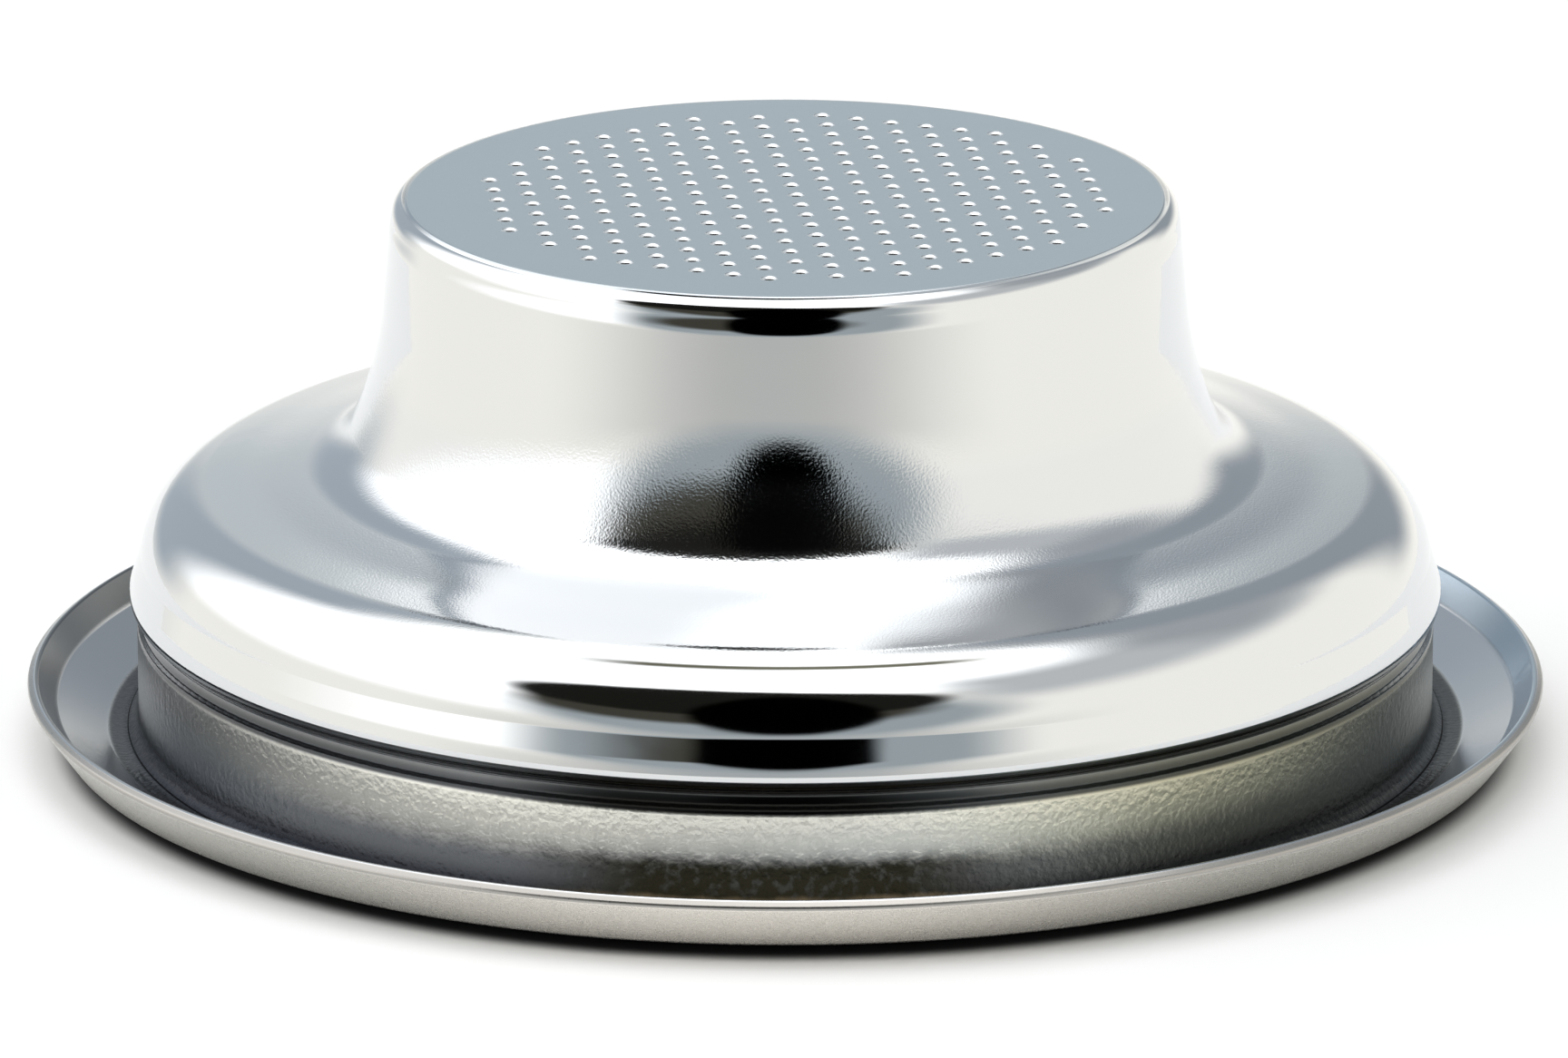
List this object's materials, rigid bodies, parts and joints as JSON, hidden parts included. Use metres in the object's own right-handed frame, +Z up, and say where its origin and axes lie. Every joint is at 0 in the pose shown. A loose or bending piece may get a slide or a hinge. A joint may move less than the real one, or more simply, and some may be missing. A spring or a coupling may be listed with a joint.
{
  "type": "espresso filter basket",
  "caption": "Ridged filter basket of drawn stainless sheet with a narrow perforated cup, a wider chamber and a dished rim with an upturned lip, standing upside down on that rim.",
  "frame": {"origin": "on the axis, in the plane that the rim rests on", "axes": "+Z up the axis from the rim to the perforated floor, +Y away from the viewer, +X to the viewer's right"},
  "size_m": [0.07, 0.07, 0.0255],
  "materials": {
    "stainless_sheet": "polished walls, satin floor and shoulder, faintly pebbled trough"
  },
  "bodies": {
    "root": {"filter_basket": "stainless_sheet"}
  },
  "joints": []
}
